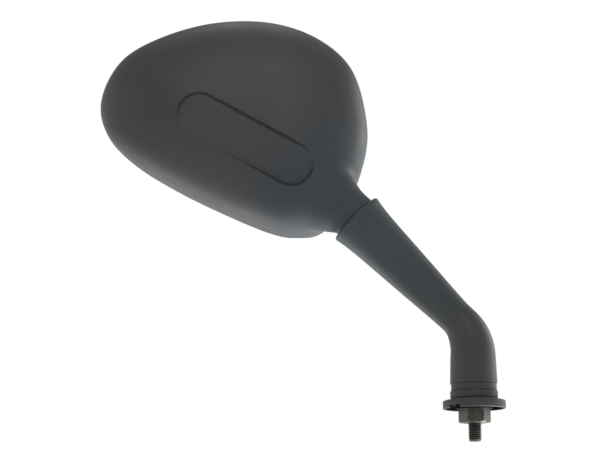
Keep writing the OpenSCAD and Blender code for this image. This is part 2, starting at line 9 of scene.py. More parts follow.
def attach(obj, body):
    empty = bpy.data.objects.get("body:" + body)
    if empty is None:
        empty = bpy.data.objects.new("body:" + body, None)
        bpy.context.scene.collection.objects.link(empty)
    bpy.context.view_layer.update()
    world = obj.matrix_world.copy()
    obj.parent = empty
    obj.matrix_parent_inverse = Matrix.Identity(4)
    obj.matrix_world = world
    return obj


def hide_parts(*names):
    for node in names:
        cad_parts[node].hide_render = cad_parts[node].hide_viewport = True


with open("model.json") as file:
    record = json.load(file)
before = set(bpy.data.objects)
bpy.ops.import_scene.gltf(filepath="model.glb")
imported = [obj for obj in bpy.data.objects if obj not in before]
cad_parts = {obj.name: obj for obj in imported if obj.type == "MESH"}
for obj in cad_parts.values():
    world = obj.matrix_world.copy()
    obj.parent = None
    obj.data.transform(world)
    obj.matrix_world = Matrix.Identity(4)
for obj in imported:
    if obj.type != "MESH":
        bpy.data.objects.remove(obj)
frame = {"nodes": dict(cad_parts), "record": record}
bpy.ops.object.select_all(action="DESELECT")
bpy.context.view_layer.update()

# Shapes are in millimetres and are turned into metres when a mesh is made.
# Materials, lamps and camera are in metres.
MM = 0.001
X, Y, Z = np.eye(3)

# The arm's slope meets the stud's axis at the elbow, and the mouth is counted along it from there
SLOPE_DEG = 46
ELBOW_Z = 54.0
MOUTH_D = 100.4
JOINT_PAST_MOUTH = 1.8
JOINT_D = MOUTH_D + JOINT_PAST_MOUTH
SLOPE = math.radians(SLOPE_DEG)
UP_NECK = np.array([-math.cos(SLOPE), 0, math.sin(SLOPE)])
ACROSS = np.array([math.sin(SLOPE), 0, math.cos(SLOPE)])
JOINT = np.array([0, 0, ELBOW_Z]) + JOINT_D * UP_NECK

# Head: Y of the rim and of the shoulder where the back starts to curve, and reach of the back
RIM_Y = 30.0
SHOULDER_Y = 16.5
CROWN_Y = 19.5
NECK_R = 14.6


# Meshes

def link_mesh(name, points, faces):
    mesh = bpy.data.meshes.new(name)
    mesh.from_pydata([tuple(float(c) * MM for c in p) for p in points], [], faces)
    obj = bpy.data.objects.new(name, mesh)
    bpy.context.collection.objects.link(obj)
    return obj


def only(obj):
    bpy.ops.object.select_all(action="DESELECT")
    obj.select_set(True)
    bpy.context.view_layer.objects.active = obj


def tidy(obj, angle=35):
    """Normals outwards and smooth shading up to an angle."""
    only(obj)
    bpy.ops.object.mode_set(mode="EDIT")
    bpy.ops.mesh.select_all(action="SELECT")
    bpy.ops.mesh.normals_make_consistent(inside=False)
    bpy.ops.object.mode_set(mode="OBJECT")
    bpy.ops.object.shade_smooth_by_angle(angle=math.radians(angle))
    obj.select_set(False)
    return obj


def loft(name, rings, loop=False, angle=35):
    """Skin over rings with equally many points: closed by fans at its ends, or joined end to end."""
    n, m = len(rings[0]), len(rings)
    points = [p for r in rings for p in r]
    last = m if loop else m - 1
    faces = [(i * n + j, i * n + (j + 1) % n, ((i + 1) % m) * n + (j + 1) % n, ((i + 1) % m) * n + j)
             for i in range(last) for j in range(n)]
    if not loop:
        points += [np.mean(rings[0], axis=0), np.mean(rings[-1], axis=0)]
        faces += [(m * n, (j + 1) % n, j) for j in range(n)]
        faces += [(m * n + 1, (m - 1) * n + j, (m - 1) * n + (j + 1) % n) for j in range(n)]
    return tidy(link_mesh(name, points, faces), angle)


def circle(centre, r, side_a, side_b, n):
    return [centre + r * (math.cos(t) * side_a + math.sin(t) * side_b)
            for t in (2 * math.pi * k / n for k in range(n))]


def lathe(name, profile, n):
    """Closed profile of (radius, height) points turned about the stud's axis."""
    return loft(name, [circle(h * Z, r, X, Y, n) for r, h in profile], loop=True)


def cut(obj, cutter):
    mod = obj.modifiers.new("cut", "BOOLEAN")
    mod.operation, mod.object, mod.solver = "DIFFERENCE", cutter, "MANIFOLD"
    only(obj)
    bpy.ops.object.modifier_apply(modifier=mod.name)
    bpy.data.objects.remove(cutter, do_unlink=True)
    return obj


def rounded(points, radii, steps=4):
    """Closed profile with each corner rounded by its own radius."""
    n = len(points)
    out = []
    for i, r in enumerate(radii):
        p, a, b = (np.array(points[k % n], float) for k in (i, i - 1, i + 1))
        if r <= 0:
            out.append(tuple(p))
            continue
        da, db = a - p, b - p
        la, lb = np.linalg.norm(da), np.linalg.norm(db)
        cos_angle = float(np.clip(da @ db / la / lb, -1, 1))
        reach = min(r / max(math.tan(math.acos(cos_angle) / 2), 1e-3), 0.45 * la, 0.45 * lb)
        start, end = p + da / la * reach, p + db / lb * reach
        for k in range(steps + 1):
            t = k / steps
            out.append(tuple((1 - t) ** 2 * start + 2 * t * (1 - t) * p + t * t * end))
    return out


def spline_point(a, b, c, d, t):
    """Point between b and c, at share t, on a smooth curve through a, b, c and d."""
    return 0.5 * (2 * b + (c - a) * t + (2 * a - 5 * b + 4 * c - d) * t * t
                  + (3 * b - a - 3 * c + d) * t ** 3)


# Head

# Outline of the rim, as X and Z from the joint
OUTLINE = [(10, 58.5), (6, 33.5), (-4, 12), (-19.5, -5.2), (-35, -8), (-50, -5.5), (-74, 4.5),
           (-107, 21), (-136, 39.5), (-154, 59.5), (-156, 81), (-142.5, 104.5), (-115, 119.5),
           (-82, 127.5), (-47.5, 126.5), (-18, 115), (2, 94)]


def smooth_loop(points, n):
    p = np.array(points, float)
    out = []
    for i in range(len(p)):
        a, b, c, d = p[i - 1], p[i], p[(i + 1) % len(p)], p[(i + 2) % len(p)]
        out += [spline_point(a, b, c, d, k / n) for k in range(n)]
    return np.array(out)


RIM = smooth_loop(OUTLINE, 16)

# Middles of the recess's two round ends, which give the direction of the recess
RECESS_A = np.array([-93.9, 61.4])
RECESS_B = np.array([-37.6, 29.6])
ALONG = (RECESS_B - RECESS_A) / np.linalg.norm(RECESS_B - RECESS_A)
ASIDE = np.array([-ALONG[1], ALONG[0]])

# The back closes on a crown line along the recess. Its roundness is that of a superellipse, and
# it is fuller near one place beside the neck
CROWN = np.array([-70, 54.5])
STRETCH = 0.3
POWER = 2.3
FULL_POWER, FULL_AT, FULL_SPREAD = 2.0, np.array([-28, -7.5]), 26.0
CLOSING_DEG, RING_SPACING = 89, 0.95


def inset(p, d):
    t = np.roll(p, -1, 0) - np.roll(p, 1, 0)
    t /= np.linalg.norm(t, axis=1)[:, None]
    return p + d * np.stack([t[:, 1], -t[:, 0]], 1)


def on_head(flat, y):
    """Points of the head from X and Z counted from the joint, and Y."""
    y = np.broadcast_to(y, len(flat))
    return [JOINT + np.array([q[0], h, q[1]]) for q, h in zip(flat, y)]


def dish(name, p, front, side, back, steps=48):
    """Straight side wall and a rounded back, which is squarer at the lower corner beside the neck."""
    rings = [on_head(p, front), on_head(p, side)]
    rel = p - CROWN
    along, aside = rel @ ALONG, rel @ ASIDE
    power = POWER + FULL_POWER * np.exp(-((p - FULL_AT) ** 2).sum(1) / FULL_SPREAD ** 2)
    for k in range(1, steps + 1):
        t = math.radians(CLOSING_DEG * (k / steps) ** RING_SPACING)
        f = math.cos(t) ** (2 / power)
        y = side - (side - back) * math.sin(t) ** (2 / power)
        flat = CROWN + np.outer(along * (STRETCH + (1 - STRETCH) * f), ALONG) + np.outer(aside * f, ASIDE)
        rings.append(on_head(flat, y))
    return loft(name, rings)


# Neck and swelling: distance up the neck, then how far its section reaches past the neck's radius
# to the outer side, to the lower side and in depth
SWELLING = [(-2.5, -0.22, -0.22, -0.22), (-1.2, -0.05, -0.05, -0.05), (0.2, 0, 0.1, 0),
            (3.5, -0.2, 2.8, 0.1), (8, -0.1, 6.6, 0.7), (12.2, 0.9, 9.6, 1.4), (18, 2.2, 13.4, 2.4),
            (24, 3.0, 16.2, 3.2), (31, 3.4, 17, 3.9), (39, 3.2, 15.5, 4.3), (46, 2.4, 12.5, 4.4),
            (53, 1.2, 9, 4.3), (60, -1, 5, 4), (67, -4, 0, 3.2), (74, -8, -4, 1.5)]
SWELLING_ROWS, SWELLING_POINTS = 6, 120


def spline_rows(rows, per_span):
    r = np.array(rows, float)
    out = []
    for i in range(len(r) - 1):
        a, b = r[max(i - 1, 0)], r[i]
        c, d = r[i + 1], r[min(i + 2, len(r) - 1)]
        out += [spline_point(a, b, c, d, k / per_span) for k in range(per_span)]
    return np.array(out + [r[-1]])


def swelling(name):
    turns = [2 * math.pi * k / SWELLING_POINTS for k in range(SWELLING_POINTS)]
    rings = []
    for w, out, low, deep in spline_rows(SWELLING, SWELLING_ROWS):
        out, low, deep = NECK_R + out, NECK_R + low, NECK_R + deep
        mid, half = (out - low) / 2, (out + low) / 2
        rings.append([JOINT + w * UP_NECK + (mid + half * math.cos(t)) * ACROSS - deep * math.sin(t) * Y
                      for t in turns])
    return loft(name, rings)


def tree_of(obj):
    points = [v.co for v in obj.data.vertices]
    return BVHTree.FromPolygons(points, [p.vertices[:] for p in obj.data.polygons])


# Recess: radius of its ends, slant of its sides, depth of the channel round its floor, rounding of
# its edge, least depth of the cutter, and how deep the floor lies where the channel begins
RECESS_R, RECESS_DRAFT, CHANNEL = 13.3, 0.3, 0.55
RECESS_EDGE, RECESS_LEAST, CHANNEL_FROM = 0.4, 0.95, 0.35
FLOOR_LEFT_Y, FLOOR_RIGHT_Y = -17.75, -16.3
LEAN_LEFT_DEG, LEAN_RIGHT_DEG = 0.7, 3.0
RECESS_MID = (RECESS_A + RECESS_B) / 2
RECESS_HALF = np.linalg.norm(RECESS_B - RECESS_A) / 2
# Channel from the floor to the foot of the side: distance past the side, then share of its depth
CHANNEL_FORM = [(-9, 0), (-5, 0), (-1.9, 0), (-1.5, 0.12), (-1.1, 0.4), (-0.7, 0.78), (-0.35, 1)]
BEHIND_HEAD = -100


def recess_floor(u, v):
    """Y of the recess's floor at u along it and v across it: it turns and rises to its left end."""
    share = (u / RECESS_HALF + 1) / 2
    lean = math.radians(LEAN_LEFT_DEG + (LEAN_RIGHT_DEG - LEAN_LEFT_DEG) * share)
    return FLOOR_LEFT_Y + (FLOOR_RIGHT_Y - FLOOR_LEFT_Y) * share - math.tan(lean) * v


def recess_spot(u, v, y):
    flat = RECESS_MID + u * ALONG + v * ASIDE
    return JOINT + np.array([flat[0], y, flat[1]])


def recess_rim():
    """The oblong's turn: place along it, and the direction in which its side looks."""
    rim = [(RECESS_HALF, math.cos(a), math.sin(a)) for a in np.radians(np.linspace(-90, 90, 49))]
    rim += [(u, 0, 1) for u in np.linspace(RECESS_HALF, -RECESS_HALF, 42)[1:-1]]
    rim += [(-RECESS_HALF, math.cos(a), math.sin(a)) for a in np.radians(np.linspace(90, 270, 49))]
    rim += [(u, 0, -1) for u in np.linspace(-RECESS_HALF, RECESS_HALF, 42)[1:-1]]
    return rim


def recess_side(below):
    """Section of the recess where its floor lies that far below the skin: reach out, height."""
    depth = max(RECESS_LEAST, below)
    dip = CHANNEL * min(1.0, max(0.0, below - CHANNEL_FROM))
    edge = depth - RECESS_EDGE
    top = RECESS_DRAFT * edge
    side = [(grow, -share * dip) for grow, share in CHANNEL_FORM]
    side += [(-0.12, 0.05 - 0.9 * dip), (0, 0.3 - 0.6 * dip)]
    side += [(RECESS_DRAFT * h, h) for h in np.linspace(0.45, edge, 4)]
    side += [(top + RECESS_EDGE * (1 - math.cos(a)) + 0.1 * math.sin(a), edge + 0.45 * math.sin(a))
             for a in np.radians((25, 50, 75, 90))]
    side += [(top + 0.7, depth + 0.3), (top + 0.9, depth + 2), (top + 1.2, depth + 6)]
    return side


def recess_cutter(name, surface):
    """Oblong with steep sides, a channel round its floor and a rounded edge where it meets the skin."""
    columns = []
    for u, along, aside in recess_rim():
        r = RECESS_R + RECESS_EDGE
        start = recess_spot(u + r * along, r * aside, BEHIND_HEAD) * MM
        skin = surface.ray_cast(Vector(start), Vector((0, 1, 0)))[0].y / MM
        column = []
        for grow, h in recess_side(recess_floor(u, r * aside) - skin):
            out = RECESS_R + grow
            column.append(recess_spot(u + out * along, out * aside, recess_floor(u, out * aside) - h))
        columns.append(column)
    return loft(name, list(zip(*columns)))


# Shell: its walls, the bore of its neck, and how the neck is blended into the dome
SIDE_WALL, BACK_WALL, NECK_BORE_R = 2.5, 6, 12.6
VOXEL = 0.85
BLEND_REACH = 3.8
BLEND_TO_Y = 24
SMOOTHING = (("skin", 6), ("blend", 220), ("skin", 4))


def make_shell():
    dome = dish("head_shell", RIM, RIM_Y, SHOULDER_Y, -CROWN_Y)
    neck = swelling("neck")
    trees = [tree_of(dome), tree_of(neck)]
    only(dome)
    neck.select_set(True)
    bpy.ops.object.join()
    shell = bpy.context.view_layer.objects.active
    shell.data.remesh_voxel_size = VOXEL * MM
    shell.data.remesh_voxel_adaptivity = 0
    bpy.ops.object.voxel_remesh()
    near = shell.vertex_groups.new(name="blend")
    rest = shell.vertex_groups.new(name="skin")
    for v in shell.data.vertices:
        gap = max(t.find_nearest(v.co)[3] for t in trees) / MM
        if v.co.y > BLEND_TO_Y * MM:
            continue
        near.add([v.index], math.exp(-(gap / BLEND_REACH) ** 2), "REPLACE")
        rest.add([v.index], 1, "REPLACE")
    for group, times in SMOOTHING:
        mod = shell.modifiers.new("smooth", "SMOOTH")
        mod.factor, mod.iterations, mod.vertex_group = 0.5, times, group
        bpy.ops.object.modifier_apply(modifier=mod.name)
    cut(shell, recess_cutter("recess", tree_of(shell)))
    cut(shell, dish("hollow", inset(RIM, SIDE_WALL), RIM_Y + 1, SHOULDER_Y, -CROWN_Y + BACK_WALL, steps=20))
    cut(shell, loft("bore", [circle(JOINT + w * UP_NECK, NECK_BORE_R, ACROSS, Y, 64) for w in (-3.5, 28)]))
    return tidy(shell, 28)


shell = make_shell()


# Glass: middle and radius of its bulge, inset from the rim, Y of its front and thickness
GLASS_MID = np.array([-74, 58.5])
GLASS_CURVE = 1200.0
GLASS_INSET, GLASS_Y, GLASS_THICK = 4.1, RIM_Y - 1, 2.0


def bulge(flat, front):
    r2 = ((flat - GLASS_MID) ** 2).sum(1)
    return front - r2 / 2 / GLASS_CURVE


def make_glass():
    edge = inset(RIM, GLASS_INSET)
    levels = [(f, 0.0) for f in np.linspace(0.02, 1, 16)[:-1]]
    levels += [(0.997, 0.0), (1.0, 0.3), (1.0, GLASS_THICK - 0.3), (0.997, GLASS_THICK)]
    levels += [(f, GLASS_THICK) for f in np.linspace(0.98, 0.02, 12)]
    rings = []
    for f, down in levels:
        flat = GLASS_MID + (edge - GLASS_MID) * f
        rings.append(on_head(flat, bulge(flat, GLASS_Y - down)))
    return loft("glass", rings, angle=40)


glass = make_glass()

# Gasket's section: inset from the rim, then its fixed Y, or 0 and its height above the glass
GASKET = [(2.56, 21.1, 0), (4.14, 21.1, 0), (4.14, 0, -2.0), (4.14, 0, 0.03), (5.4, 0, 0.03),
          (5.68, 0, 0.25), (5.6, 0, 0.6), (5.1, 0, 0.95), (4.4, 0, 1.15), (3.2, 0, 1.18),
          (2.7, 0, 1.1), (2.56, 0, 0.9)]


def make_gasket():
    rings = []
    for d, level, above in GASKET:
        flat = inset(RIM, d)
        y = np.full(len(flat), level) if level else np.minimum(bulge(flat, GLASS_Y) + above, RIM_Y)
        rings.append(on_head(flat, y))
    return loft("gasket", rings, loop=True, angle=50)


gasket = make_gasket()


# Arm

BEND_R = 31.0
BEND_DEG = 90 - SLOPE_DEG
TANGENT = BEND_R * math.tan(math.radians(BEND_DEG / 2))
FOOT_Z = 23.5
FOOT_END = ELBOW_Z - TANGENT
FOOT_LEN = FOOT_END - FOOT_Z
BEND_LEN = BEND_R * math.radians(BEND_DEG)
SLOPE_LEN = MOUTH_D - TANGENT
WAIST_R, MOUTH_R, FOOT_R = 10.6, 18.0, 14.3


def arm_place(s):
    """Centre and lean of the arm's middle line at distance s from the foot's lower end."""
    if s < FOOT_LEN:
        return np.array([0, 0, FOOT_Z + s]), 0.0
    if s < FOOT_LEN + BEND_LEN:
        g = (s - FOOT_LEN) / BEND_R
        return np.array([-BEND_R * (1 - math.cos(g)), 0, FOOT_END + BEND_R * math.sin(g)]), g
    d = s - FOOT_LEN - BEND_LEN + TANGENT
    return np.array([0, 0, ELBOW_Z]) + d * UP_NECK, math.radians(BEND_DEG)


# Radius of the arm along its middle line, before it is smoothed
S0, FLARE = FOOT_LEN + BEND_LEN, MOUTH_R - WAIST_R
END = S0 + 0.985 * SLOPE_LEN
RADII = [(0, FOOT_R), (FOOT_LEN, FOOT_R - 0.6), (FOOT_LEN + BEND_LEN / 2, (FOOT_R + WAIST_R) / 2 + 0.2),
         (S0, WAIST_R), (S0 + 0.14 * SLOPE_LEN, WAIST_R + 0.1 * FLARE),
         (S0 + 0.45 * SLOPE_LEN, WAIST_R + 0.38 * FLARE), (S0 + 0.8 * SLOPE_LEN, WAIST_R + 0.67 * FLARE),
         (S0 + 0.93 * SLOPE_LEN, WAIST_R + 0.84 * FLARE), (END, MOUTH_R - 0.15)]
SMOOTH_POINTS, SMOOTH_HALF = 400, 20

# Hollow of the arm: (radius, Z) of the sleeve's bore, then (distance from the elbow, radius) of the
# ball joint's seats
MOUTH_IN_R, LIP_R = MOUTH_R - 2.2, 0.4
SLEEVE_BORE = [(10.5, 43.8), (10.5, 36), (10.85, 36), (10.85, FOOT_Z)]
SEATS = [(MOUTH_D - 2, MOUTH_IN_R), (JOINT_D - 8.1, 15.08), (JOINT_D - 19.2, 12.7),
         (JOINT_D - 19.2, 11.0), (30, 8.4)]
ARM_POINTS = 88


def arm_radius(s):
    xs, rs = np.array(RADII).T
    places = np.linspace(0, xs[-1], SMOOTH_POINTS)
    fine = np.interp(places, xs, rs)
    kernel = np.hanning(2 * SMOOTH_HALF + 1)
    kernel /= kernel.sum()
    before = 2 * fine[0] - fine[SMOOTH_HALF:0:-1]
    after = 2 * fine[-1] - fine[-2:-SMOOTH_HALF - 2:-1]
    padded = np.concatenate([before, fine, after])
    return float(np.interp(s, places, np.convolve(padded, kernel, "valid")))


def arm_ring(s, r):
    c, g = arm_place(s)
    side = np.array([math.cos(g), 0, math.sin(g)])
    return circle(c, r, side, Y, ARM_POINTS)


def make_arm():
    rings = [circle(z * Z, r, X, Y, ARM_POINTS) for r, z in SLEEVE_BORE]
    rings += [arm_ring(0, FOOT_R - 0.35), arm_ring(0.1, FOOT_R - 0.12), arm_ring(0.35, FOOT_R)]
    for s in np.concatenate([np.linspace(0.8, FOOT_LEN, 8), np.linspace(FOOT_LEN + 1, S0, 18),
                             np.linspace(S0 + 2, END, 44)]):
        rings.append(arm_ring(s, arm_radius(s)))
    mouth = S0 + SLOPE_LEN
    round_r = mouth - END
    top = arm_radius(END)
    for a in np.radians(np.linspace(10, 90, 9)):
        rings.append(arm_ring(END + round_r * math.sin(a), top - round_r * (1 - math.cos(a))))
    for a in np.radians(np.linspace(0, 90, 5)):
        rings.append(arm_ring(mouth - LIP_R * (1 - math.cos(a)), MOUTH_IN_R + LIP_R * (1 - math.sin(a))))
    rings += [arm_ring(S0 + d - TANGENT, r) for d, r in SEATS]
    return loft("arm_skin", rings, angle=40)


arm = make_arm()


# Foot

SPIGOT_R = 6.0
SPIGOT_HOLE_R = 6.1

# Flange: lower face, radius, height of its rim, hollow with its inner radius, collar over a groove
FLANGE_Z, FLANGE_R, FLANGE_RIM = 8.4, 19.0, 4.8
HOLLOW_H, HUB_R, RIM_IN_R = 2.8, 11.2, FLANGE_R - 2.4
COLLAR_R, COLLAR_TOP = 14.4, 19.0
GROOVE_R, GROOVE_LOW, GROOVE_TOP = 13.7, 14.3, 15.0
GROOVE_OUT_R = 14.6

# Notch in the flange's rim: size and rounding of its block, direction, and place of its middle
NOTCH_W, NOTCH_H, NOTCH_ROUND = 8, 3.8, 0.5
NOTCH_DEG, NOTCH_D = 226, RIM_IN_R + 2.2


def notch_block():
    bpy.ops.mesh.primitive_cube_add(size=1)
    notch = bpy.context.active_object
    notch.scale = (NOTCH_W * MM, NOTCH_W * MM, NOTCH_H * MM)
    bpy.ops.object.transform_apply(scale=True)
    only(notch)
    bpy.ops.object.mode_set(mode="EDIT")
    bpy.ops.mesh.select_all(action="SELECT")
    bpy.ops.mesh.bevel(offset=NOTCH_ROUND * MM, segments=3, affect="EDGES")
    bpy.ops.object.mode_set(mode="OBJECT")
    a = math.radians(NOTCH_DEG)
    middle = Vector((math.cos(a), math.sin(a), 0)) * NOTCH_D * MM + Vector((0, 0, FLANGE_Z * MM))
    notch.matrix_world = Matrix.Translation(middle) @ Matrix.Rotation(a, 4, "Z")
    bpy.ops.object.transform_apply(location=True, rotation=True)
    return notch


def make_flange():
    roof, rim_top = FLANGE_Z + HOLLOW_H, FLANGE_Z + FLANGE_RIM
    profile = [(SPIGOT_HOLE_R, FLANGE_Z), (HUB_R, FLANGE_Z), (HUB_R, roof), (RIM_IN_R, roof),
               (RIM_IN_R, FLANGE_Z), (FLANGE_R, FLANGE_Z), (FLANGE_R, rim_top), (GROOVE_OUT_R, GROOVE_LOW),
               (GROOVE_R, GROOVE_LOW), (GROOVE_R, GROOVE_TOP), (COLLAR_R, GROOVE_TOP),
               (COLLAR_R, COLLAR_TOP), (SPIGOT_HOLE_R, COLLAR_TOP)]
    radii = [0.2, 0.3, 0.4, 0.7, 0.35, 0.5, 0.9, 0.1, 0.1, 0.1, 0.15, 0.2, 0.2]
    flange = lathe("flange", rounded(profile, radii), 144)
    return tidy(cut(flange, notch_block()), 32)


flange = make_flange()

# Sleeve: its hole, its collar seen under the arm, and the part pressed into the arm
SLEEVE_HOLE_R, COLLAR_RING_R, PRESSED_R = 6.05, 13.8, 10.8
SLEEVE_LOW, SLEEVE_TOP = 19.3, 36
WASHER_SEAT_R, WASHER_SEAT_Z = 12.4, 19.9
SLEEVE_FORM = [(SLEEVE_HOLE_R, WASHER_SEAT_Z), (WASHER_SEAT_R, WASHER_SEAT_Z), (WASHER_SEAT_R, SLEEVE_LOW),
               (COLLAR_RING_R, SLEEVE_LOW), (COLLAR_RING_R, FOOT_Z), (PRESSED_R, FOOT_Z),
               (PRESSED_R, SLEEVE_TOP), (SLEEVE_HOLE_R, SLEEVE_TOP)]
sleeve = lathe("foot_ring", rounded(SLEEVE_FORM, [0.1, 0, 0.1, 0.15, 0.35, 0, 0.4, 0.2]), 120)

# Stud: thread, hexagon with its chamfer as (Z, limit of the radius), and spigot as (Z, radius)
STUD_POINTS, STUD_ROWS = 120, 120
PITCH, THREAD_DEPTH, THREAD_R, THREAD_LEN = 1.25, 0.68, 3.98, 11.2
CREST_FROM, CREST_WIDTH = 0.1, 0.55
TIP_R, TIP_RISE, TIP_LEN = 3.15, 0.85, 1.0
RUNOUT_Z, RUNOUT_LEN = -0.35, 1.2
HEX_HALF = 8.5
HEXAGON = [(0.0, 8.45), (0.0, 8.9), (0.12, 9.1), (0.3, 9.4), (0.55, 9.66), (0.9, 9.72), (8.3, 9.72),
           (8.4, 9.6)]
SPIGOT = [(8.4, SPIGOT_R), (39.6, SPIGOT_R), (39.6, 5.2), (40.8, 5.2), (40.8, SPIGOT_R), (42.0, SPIGOT_R),
          (42.3, 5.7)]


def thread_radius(t, z):
    """Radius of the thread at turn t and height z: full at its crests, chamfered at the tip."""
    tip = min(1.0, (z + THREAD_LEN) / TIP_LEN)
    root = min(1.0, max(0.0, (RUNOUT_Z - z) / RUNOUT_LEN))
    phase = (z / PITCH - t / (2 * math.pi)) % 1.0
    crest = min(1.0, max(0.0, (abs(2 * phase - 1) - CREST_FROM) / CREST_WIDTH))
    return min(THREAD_R - THREAD_DEPTH * root * (1 - crest), TIP_R + TIP_RISE * tip)


def hexagon_radius(t, limit):
    return min(HEX_HALF / math.cos(t % (math.pi / 3) - math.pi / 6), limit)


def make_stud():
    """Threaded end, chamfered hexagon and spigot in one closed skin."""
    turns = [2 * math.pi * k / STUD_POINTS for k in range(STUD_POINTS)]
    rows = [(-THREAD_LEN, [2.6 for t in turns])]
    rows += [(z, [thread_radius(t, z) for t in turns]) for z in np.linspace(-THREAD_LEN, RUNOUT_Z, STUD_ROWS)]
    rows += [(-0.02, [THREAD_R for t in turns])]
    rows += [(z, [hexagon_radius(t, limit) for t in turns]) for z, limit in HEXAGON]
    rows += [(z, [radius for t in turns]) for z, radius in SPIGOT]
    rings = [[np.array([r * math.cos(t), r * math.sin(t), z]) for t, r in zip(turns, radii)]
             for z, radii in rows]
    return loft("stud_turned", rings, angle=30)


stud = make_stud()


# Materials

def material(name):
    mat = bpy.data.materials.new(name)
    mat.use_nodes = True
    tree = mat.node_tree
    shader = tree.nodes["Principled BSDF"]
    coord = tree.nodes.new("ShaderNodeTexCoord")
    return mat, tree, shader, coord.outputs["Object"]


def inner(mat):
    """Node tree, shader and Object coordinates of a material made here."""
    tree = mat.node_tree
    return tree, tree.nodes["Principled BSDF"], tree.nodes["Texture Coordinate"].outputs["Object"]


def noise(tree, where, scale, detail=3.0, rough=0.5):
    node = tree.nodes.new("ShaderNodeTexNoise")
    node.inputs["Scale"].default_value = scale
    node.inputs["Detail"].default_value = detail
    node.inputs["Roughness"].default_value = rough
    tree.links.new(where, node.inputs["Vector"])
    return node.outputs["Fac"]


def ramp(tree, value, stops):
    node = tree.nodes.new("ShaderNodeValToRGB")
    while len(node.color_ramp.elements) < len(stops):
        node.color_ramp.elements.new(0.5)
    for element, (place, colour) in zip(node.color_ramp.elements, stops):
        element.position = place
        element.color = (*colour, 1)
    tree.links.new(value, node.inputs["Fac"])
    return node.outputs["Color"]


def spread(tree, value, low, high, a=0.3, b=0.7):
    node = tree.nodes.new("ShaderNodeMapRange")
    node.inputs["From Min"].default_value = a
    node.inputs["From Max"].default_value = b
    node.inputs["To Min"].default_value = low
    node.inputs["To Max"].default_value = high
    tree.links.new(value, node.inputs["Value"])
    return node.outputs["Result"]


def bump(tree, relief, strength, distance):
    node = tree.nodes.new("ShaderNodeBump")
    node.inputs["Strength"].default_value = strength
    node.inputs["Distance"].default_value = distance
    tree.links.new(relief, node.inputs["Height"])
    return node.outputs["Normal"]


def height(tree, where):
    node = tree.nodes.new("ShaderNodeSeparateXYZ")
    tree.links.new(where, node.inputs["Vector"])
    return node.outputs["Z"]


def clouds(tree, where, scale, dark, light, detail=3.0, top=0.7):
    """Soft mottling between two colours."""
    return ramp(tree, noise(tree, where, scale, detail), [(0.3, dark), (top, light)])


def plastic(name, dark, light, rough, grain=1400, lift=0.00004, specular=0.3):
    mat, tree, shader, where = material(name)
    roughness = spread(tree, noise(tree, where, 45, 4), rough - 0.03, rough + 0.04)
    tree.links.new(clouds(tree, where, 14, dark, light), shader.inputs["Base Color"])
    tree.links.new(roughness, shader.inputs["Roughness"])
    tree.links.new(bump(tree, noise(tree, where, grain, 2, 0.6), 0.35, lift), shader.inputs["Normal"])
    shader.inputs["Specular IOR Level"].default_value = specular
    return mat


def mixed(tree, factor, a, b):
    node = tree.nodes.new("ShaderNodeMix")
    node.data_type = "RGBA"
    tree.links.new(factor, node.inputs["Factor"])
    tree.links.new(a, node.inputs["A"])
    tree.links.new(b, node.inputs["B"])
    return node.outputs["Result"]


def cooled(mat, cool, share):
    """Let a plastic's colour run over into a cooler one where share, made from the tree, is 1."""
    tree, shader, where = inner(mat)
    base = shader.inputs["Base Color"].links[0].from_socket
    colour = mixed(tree, share(tree, where), base, clouds(tree, where, 14, *cool))
    tree.links.new(colour, shader.inputs["Base Color"])
    return mat


def up_the_arm(tree, where):
    return spread(tree, height(tree, where), 0, 1, 0.06, 0.11)


def near_the_joint(tree, where):
    gap = tree.nodes.new("ShaderNodeVectorMath")
    gap.operation = "DISTANCE"
    tree.links.new(where, gap.inputs[0])
    gap.inputs[1].default_value = tuple(float(c) * MM for c in JOINT)
    return spread(tree, gap.outputs["Value"], 1, 0, 0.025, 0.07)


def metal(name, dark, light, rough, scale=300, lift=0.00003):
    mat, tree, shader, where = material(name)
    roughness = spread(tree, noise(tree, where, scale * 0.4, 4), rough - 0.06, rough + 0.1)
    tree.links.new(clouds(tree, where, scale, dark, light, 4, 0.75), shader.inputs["Base Color"])
    tree.links.new(roughness, shader.inputs["Roughness"])
    tree.links.new(bump(tree, noise(tree, where, scale * 3, 3), 0.3, lift), shader.inputs["Normal"])
    shader.inputs["Metallic"].default_value = 1.0
    return mat


def mirror(name):
    mat, tree, shader, where = material(name)
    silver = clouds(tree, where, 6, (0.80, 0.84, 0.86), (0.83, 0.86, 0.875))
    tree.links.new(silver, shader.inputs["Base Color"])
    tree.links.new(spread(tree, noise(tree, where, 30), 0.012, 0.03), shader.inputs["Roughness"])
    shader.inputs["Metallic"].default_value = 1.0
    return mat


